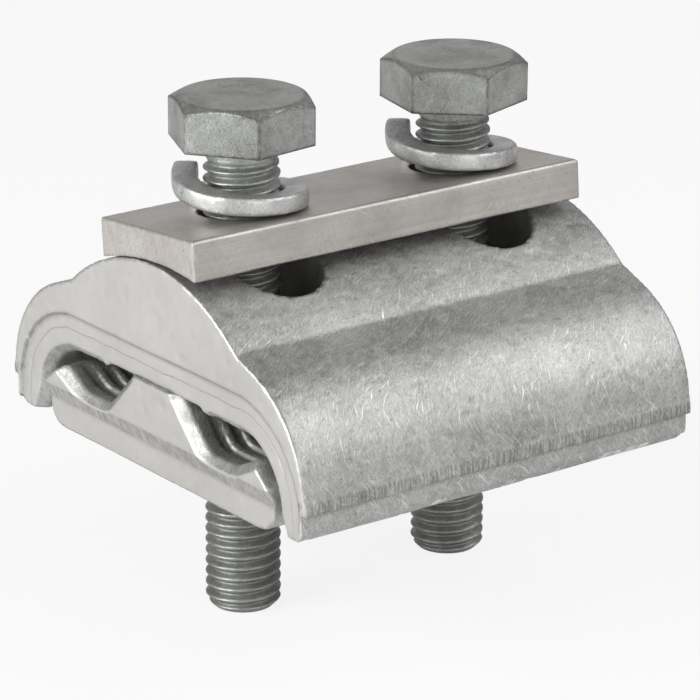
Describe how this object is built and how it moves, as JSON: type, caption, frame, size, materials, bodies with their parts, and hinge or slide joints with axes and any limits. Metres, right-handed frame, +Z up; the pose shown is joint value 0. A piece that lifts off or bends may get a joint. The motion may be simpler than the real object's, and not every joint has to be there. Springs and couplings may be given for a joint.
{
  "type": "parallel groove clamp",
  "caption": "Bolted parallel groove clamp that joins overhead line conductors side by side between a domed upper jaw with hooked skirts and a grooved lower jaw.",
  "frame": {"origin": "middle of the clamp, on the plane where the jaws meet, half-way between the two conductor grooves", "axes": "+X along the conductors, +Y from the main groove to the branch groove, +Z up the bolts towards their heads"},
  "size_m": [0.0635, 0.0662, 0.0697],
  "materials": {
    "cast_aluminium": "scratched satin casting",
    "plate_aluminium": "brushed",
    "zinc_steel": "hot-dip galvanised"
  },
  "bodies": {
    "upper_jaw": {"upper_jaw": "cast_aluminium"},
    "lower_jaw": {"lower_jaw": "cast_aluminium"},
    "plate_and_washers": {"pressure_plate": "plate_aluminium", "spring_washer_front": "zinc_steel", "spring_washer_rear": "zinc_steel"},
    "bolt_front": {"bolt_front": "zinc_steel"},
    "bolt_rear": {"bolt_rear": "zinc_steel"}
  },
  "joints": [
    {"name": "bolt_front_turn", "type": "hinge", "parent": "upper_jaw", "child": "bolt_front", "pos_m": [-0.0172, 0, 0], "axis": [0, 0, 1], "range_deg": [0, 4680]},
    {"name": "bolt_rear_turn", "type": "hinge", "parent": "upper_jaw", "child": "bolt_rear", "pos_m": [0.0172, 0, 0], "axis": [0, 0, 1], "range_deg": [0, 4680]},
    {"name": "lower_jaw_travel", "type": "slide", "parent": "upper_jaw", "child": "lower_jaw", "axis": [0, 0, 1], "range_m": [-0.0225, 0]},
    {"name": "plate_rock", "type": "hinge", "parent": "upper_jaw", "child": "plate_and_washers", "pos_m": [0, 0, 0.02098], "axis": [1, 0, 0], "range_deg": [0, 10]}
  ],
  "couplings": [
    {"joint": "bolt_rear_turn", "follows": "bolt_front_turn", "ratio": 1},
    {"joint": "lower_jaw_travel", "follows": "bolt_front_turn", "m_per_rad": -0.00023873}
  ]
}
